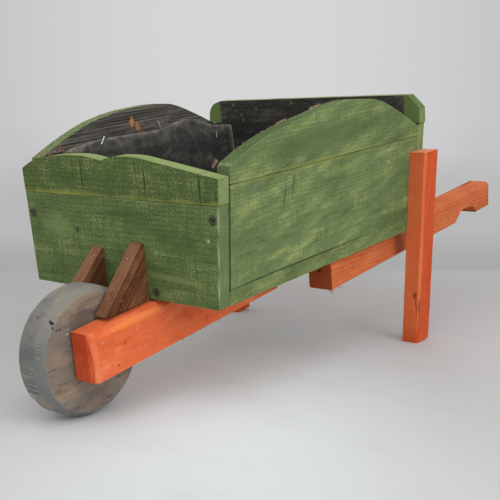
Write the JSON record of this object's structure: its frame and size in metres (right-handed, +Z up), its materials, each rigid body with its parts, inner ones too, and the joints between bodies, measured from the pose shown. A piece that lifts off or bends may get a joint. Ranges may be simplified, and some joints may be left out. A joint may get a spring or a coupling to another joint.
{
  "type": "wheelbarrow",
  "caption": "Small wooden garden wheelbarrow: splayed tray with arched sides, solid wooden wheel between two arms, square legs and notched grips.",
  "frame": {"origin": "middle of the underside of the whole, on the ground it stands on", "axes": "+Z up, the wheel towards -Y, the handles towards +Y, +X the user's left"},
  "size_m": [0.439, 1.0192, 0.3894],
  "materials": {
    "tray_floor": "green wood stain on rough-sawn pine",
    "front_board_lower": "green wood stain on rough-sawn pine",
    "front_board_upper": "green wood stain on rough-sawn pine",
    "rear_board_lower": "green wood stain on rough-sawn pine",
    "rear_board_upper": "green wood stain on rough-sawn pine",
    "left_side_board_lower": "green wood stain on rough-sawn pine",
    "left_side_board_upper": "green wood stain on rough-sawn pine",
    "right_side_board_lower": "green wood stain on rough-sawn pine",
    "right_side_board_upper": "green wood stain on rough-sawn pine",
    "left_wheel_arm": "orange wood stain on planed pine",
    "left_handle_beam": "orange wood stain on planed pine",
    "left_leg": "orange wood stain on planed pine",
    "right_wheel_arm": "orange wood stain on planed pine",
    "right_handle_beam": "orange wood stain on planed pine",
    "right_leg": "orange wood stain on planed pine",
    "left_brace": "dark brown wood stain",
    "right_brace": "dark brown wood stain",
    "wheel": "grey wood stain",
    "tray_liner": "matt black woven landscape fabric",
    "black_screw": "black phosphate",
    "axle": "zinc plated"
  },
  "bodies": {
    "barrow": {"tray_floor": "tray_floor", "front_board_lower": "front_board_lower", "front_board_upper": "front_board_upper", "rear_board_lower": "rear_board_lower", "rear_board_upper": "rear_board_upper", "left_side_board_lower": "left_side_board_lower", "left_side_board_upper": "left_side_board_upper", "right_side_board_lower": "right_side_board_lower", "right_side_board_upper": "right_side_board_upper", "tray_liner": "tray_liner", "left_wheel_arm": "left_wheel_arm", "left_handle_beam": "left_handle_beam", "left_leg": "left_leg", "right_wheel_arm": "right_wheel_arm", "right_handle_beam": "right_handle_beam", "right_leg": "right_leg", "left_brace": "left_brace", "right_brace": "right_brace", "front_screw_left_side": "black_screw", "front_screw_right_side": "black_screw", "front_screw_left_floor": "black_screw", "front_screw_right_floor": "black_screw", "rear_screw_left_side_1": "black_screw", "rear_screw_left_side_2": "black_screw", "rear_screw_left_floor": "black_screw", "left_leg_screw_1": "black_screw", "left_leg_screw_2": "black_screw", "left_handle_screw_1": "black_screw", "left_handle_screw_2": "black_screw", "left_arm_screw_1": "black_screw", "left_arm_screw_2": "black_screw", "rear_screw_right_side_1": "black_screw", "rear_screw_right_side_2": "black_screw", "rear_screw_right_floor": "black_screw", "right_leg_screw_1": "black_screw", "right_leg_screw_2": "black_screw", "right_handle_screw_1": "black_screw", "right_handle_screw_2": "black_screw", "right_arm_screw_1": "black_screw", "right_arm_screw_2": "black_screw"},
    "wheelset": {"wheel": "wheel", "axle": "axle"}
  },
  "joints": [
    {"name": "wheel_spin", "type": "hinge", "parent": "barrow", "child": "wheelset", "pos_m": [0, -0.42958, 0.08], "axis": [1, 0, 0], "continuous": true}
  ]
}
